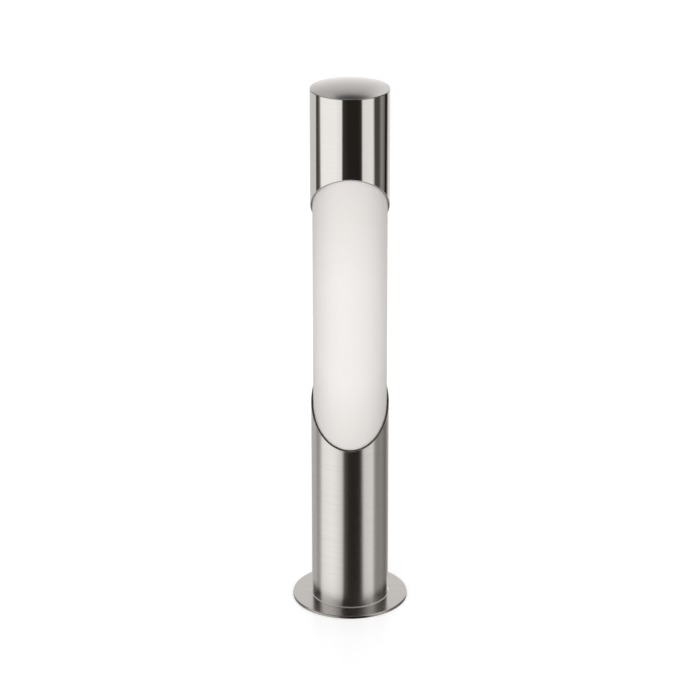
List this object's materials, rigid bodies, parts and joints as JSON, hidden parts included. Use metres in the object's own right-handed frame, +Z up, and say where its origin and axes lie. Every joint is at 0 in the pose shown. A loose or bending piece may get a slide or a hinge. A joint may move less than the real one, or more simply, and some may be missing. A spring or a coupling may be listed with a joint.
{
  "type": "bollard light",
  "caption": "Round steel bollard light: an opal cylinder between two obliquely sawn tubes, on a round base plate, with a domed cap.",
  "frame": {"origin": "middle of the base plate's underside, on the ground", "axes": "+Z up along the tubes; -Y is the front, where the lower cut is lowest and the upper cut is highest; +X to the right seen from the front"},
  "size_m": [0.172, 0.172, 0.8],
  "materials": {
    "plate_steel": "satin stainless steel, turned at its edge",
    "post_steel": "satin brushed stainless steel",
    "head_steel": "finely brushed, nearly polished stainless steel",
    "cap_steel": "satin stainless steel",
    "opal": "translucent opal acrylic, matte",
    "screw_steel": "plain stainless steel",
    "black_steel": "black oxide",
    "cast_alloy": "turned cast aluminium",
    "zinc_sheet": "zinc-plated steel",
    "seal_rubber": "black rubber",
    "grey_plastic": "grey moulded plastic",
    "white_plastic": "white moulded plastic",
    "brass": "bright brass",
    "porcelain": "white glazed porcelain",
    "brown_lead": "brown insulation",
    "blue_lead": "blue insulation",
    "green_lead": "green and yellow insulation",
    "white_paint": "white powder coat",
    "lamp_metal": "nickel-plated",
    "lamp_insulation": "black vitreous insulation",
    "lamp_opal": "frosted opal plastic"
  },
  "bodies": {
    "post": {"base_plate": "plate_steel", "post_tube": "post_steel", "mounting_foot": "cast_alloy", "post_screws": "screw_steel", "seat_ring": "cast_alloy", "lower_gasket": "seal_rubber", "post_rivet_nuts": "screw_steel", "post_grub_screws": "black_steel", "lamp_bracket": "zinc_sheet", "bracket_screws": "zinc_sheet", "wiring_box": "grey_plastic", "box_gasket": "seal_rubber", "box_lid": "grey_plastic", "lid_screws": "screw_steel", "box_screws": "screw_steel", "terminal_block": "white_plastic", "terminal_screws": "brass", "gland_body": "grey_plastic", "gland_locknut": "grey_plastic", "gland_seal": "seal_rubber", "gland_nut": "grey_plastic", "grommet": "seal_rubber", "live_wire": "brown_lead", "neutral_wire": "blue_lead", "earth_wire": "green_lead", "wire_clips": "white_plastic", "earth_tag": "brass", "earth_screw": "screw_steel", "lampholder": "porcelain", "lampholder_shell": "brass", "lampholder_contact": "brass", "lampholder_screws": "screw_steel"},
    "diffuser": {"diffuser": "opal"},
    "head": {"head_tube": "head_steel", "head_collar": "cast_alloy", "upper_gasket": "seal_rubber", "reflector": "white_paint", "reflector_screws": "screw_steel", "head_rivet_nuts": "screw_steel", "head_grub_screws": "black_steel", "cap": "cap_steel", "cap_seal": "seal_rubber", "cap_stud": "screw_steel", "cap_bridge": "zinc_sheet", "cap_washer": "zinc_sheet", "cap_nut": "zinc_sheet"},
    "lamp_base": {"lamp_shell": "lamp_metal", "lamp_insulator": "lamp_insulation", "lamp_contact": "lamp_metal"},
    "lamp": {"lamp_housing": "white_plastic", "lamp_globe": "lamp_opal"}
  },
  "joints": [
    {"name": "diffuser_lift", "type": "slide", "parent": "post", "child": "diffuser", "axis": [0, 0, 1], "range_m": [0, 0.3]},
    {"name": "head_lift", "type": "slide", "parent": "diffuser", "child": "head", "axis": [0, 0, 1], "range_m": [0, 0.2]},
    {"name": "lamp_rise", "type": "slide", "parent": "post", "child": "lamp_base", "axis": [0, 0, 1], "range_m": [0, 0.0109]},
    {"name": "lamp_turn", "type": "hinge", "parent": "lamp_base", "child": "lamp", "pos_m": [0, 0, 0.4], "axis": [0, 0, 1], "range_deg": [0, 1080]}
  ],
  "couplings": [
    {"joint": "lamp_rise", "follows": "lamp_turn", "m_per_rad": 0.0005775}
  ]
}
